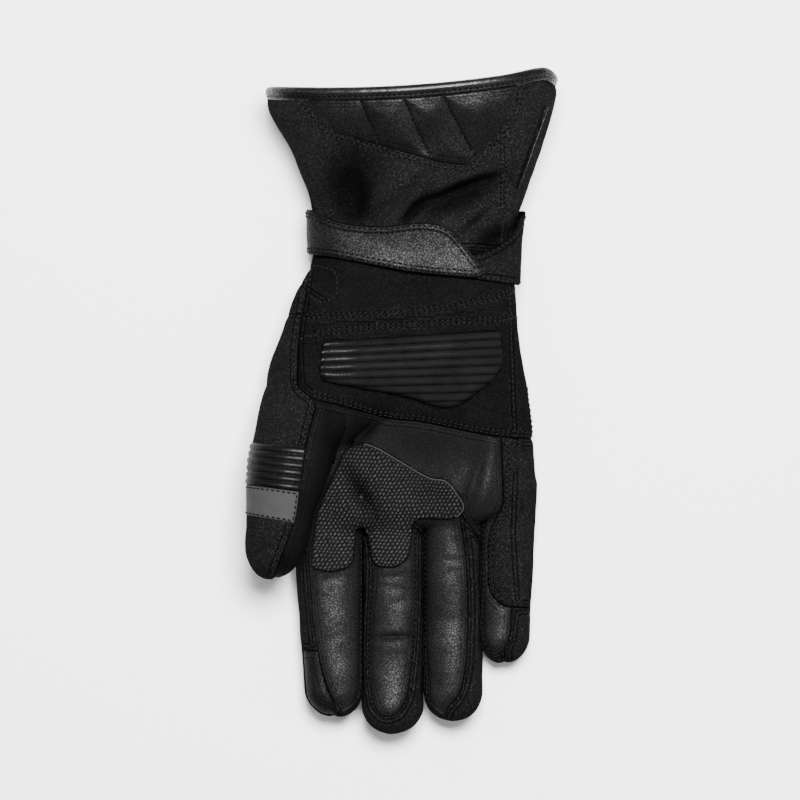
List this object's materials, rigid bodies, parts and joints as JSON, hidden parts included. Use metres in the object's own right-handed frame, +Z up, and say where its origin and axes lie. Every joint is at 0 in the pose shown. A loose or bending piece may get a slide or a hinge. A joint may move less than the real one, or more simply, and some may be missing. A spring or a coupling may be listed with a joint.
{
  "type": "summer motorcycle glove",
  "caption": "Gauntlet glove for summer riding, palm up: leather palm and fingers, knit grip patch, ribbed heel pad, flared cuff with a bound mouth, and a strap closing the wrist.",
  "frame": {"origin": "middle of the glove's outer box in plan, on the surface that the back of the hand lies on", "axes": "+Z up out of the palm, +Y along the glove towards the cuff, +X towards the little finger"},
  "size_m": [0.1374, 0.2909, 0.0599],
  "materials": {
    "softshell": "matt black softshell cloth with fine pale flecks",
    "suede": "black synthetic suede",
    "leather": "black goatskin, pebbled and softly glossy",
    "knit": "black nubbed grip knit",
    "rubber": "black ribbed pad, satin with glossy ridges",
    "reflective": "grey reflective tape",
    "thread": "black sewing thread"
  },
  "bodies": {
    "root": {"cuff_back": "softshell", "cuff_binding": "leather", "cuff_palm": "softshell", "cuff_panel": "leather", "cuff_piping": "leather", "fourchette_index_middle": "softshell", "fourchette_middle_ring": "softshell", "fourchette_ring_little": "softshell", "grip_patch": "knit", "hand_back": "softshell", "heel_panel": "suede", "palm_leather": "leather", "palm_slider": "rubber", "side_patch": "softshell", "thumb_back": "softshell", "thumb_front": "leather", "thumb_reflector": "reflective", "thumb_ribs": "leather", "wrist_band": "softshell", "wrist_strap": "leather"}
  },
  "joints": []
}
